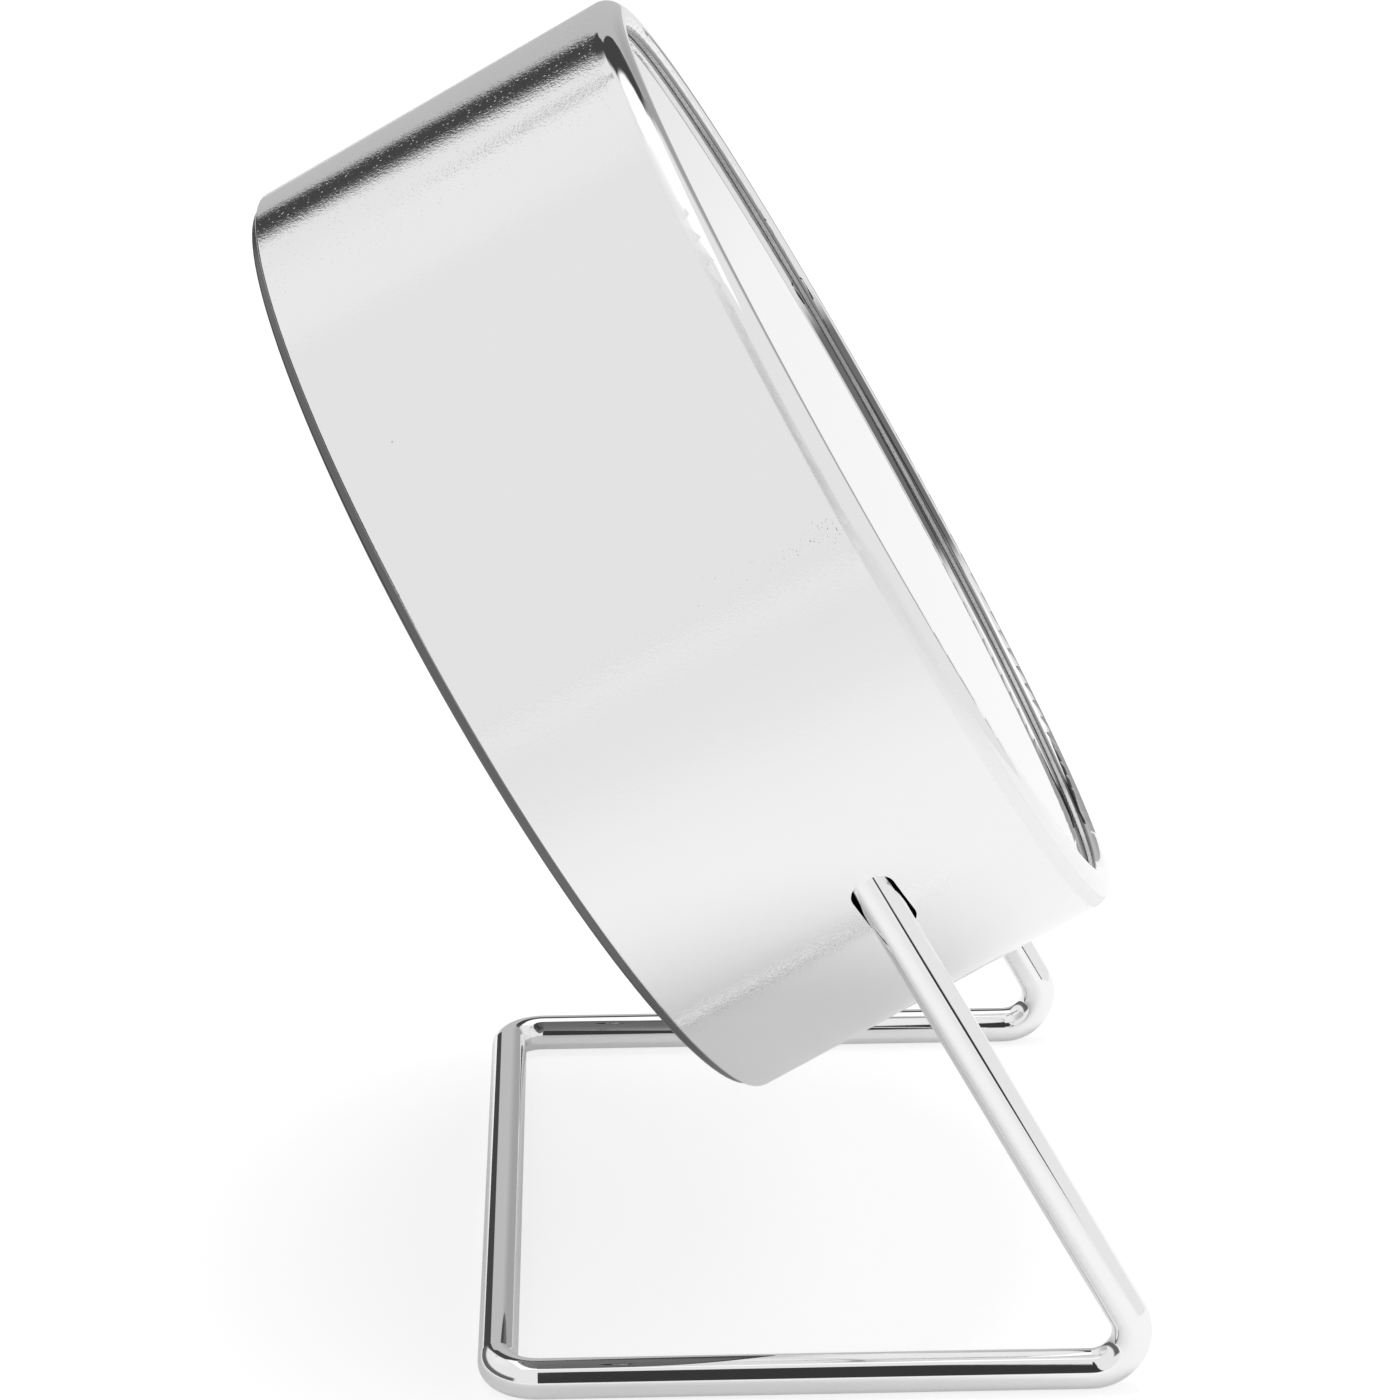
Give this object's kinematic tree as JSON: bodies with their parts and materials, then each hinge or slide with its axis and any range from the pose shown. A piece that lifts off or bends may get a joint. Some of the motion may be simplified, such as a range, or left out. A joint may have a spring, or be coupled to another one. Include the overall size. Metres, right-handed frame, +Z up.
{
  "type": "countertop mirror",
  "caption": "Round mirror in a deep chromed drum that leans back and plugs onto the legs of a bent wire table stand.",
  "frame": {"origin": "middle of the footprint on the table", "axes": "+Z up, -Y is the side that the mirror faces, +X runs across the drum from one leg to the other"},
  "size_m": [0.17, 0.1412, 0.2101],
  "materials": {
    "drum_chrome": "bright chrome plate with a faint orange peel",
    "cover_chrome": "dark satin chrome plate",
    "wire_chrome": "polished chrome plate",
    "mirror": "silvered glass",
    "rubber": "matt black rubber",
    "film": "thin polyester film",
    "board": "pressed fibre board",
    "foam": "soft foam strip",
    "zinc": "bright zinc plate",
    "nylon": "natural nylon"
  },
  "bodies": {
    "stand": {"wire_stand": "wire_chrome"},
    "head": {"drum_shell": "drum_chrome", "rim_gasket": "rubber", "mirror_glass": "mirror", "safety_film": "film", "backing_board": "board", "foam_ring": "foam", "clamp_ring": "zinc", "left_bracket": "zinc", "right_bracket": "zinc", "left_socket": "zinc", "right_socket": "zinc", "left_bush": "nylon", "right_bush": "nylon", "left_grip_ring": "rubber", "right_grip_ring": "rubber", "bracket_rivets": "zinc", "cover_posts": "zinc", "rear_cover": "cover_chrome", "cover_screws": "zinc"}
  },
  "joints": [
    {"name": "head_lift", "type": "slide", "parent": "stand", "child": "head", "axis": [0, 0.4909, 0.8712], "range_m": [0, 0.05]}
  ]
}
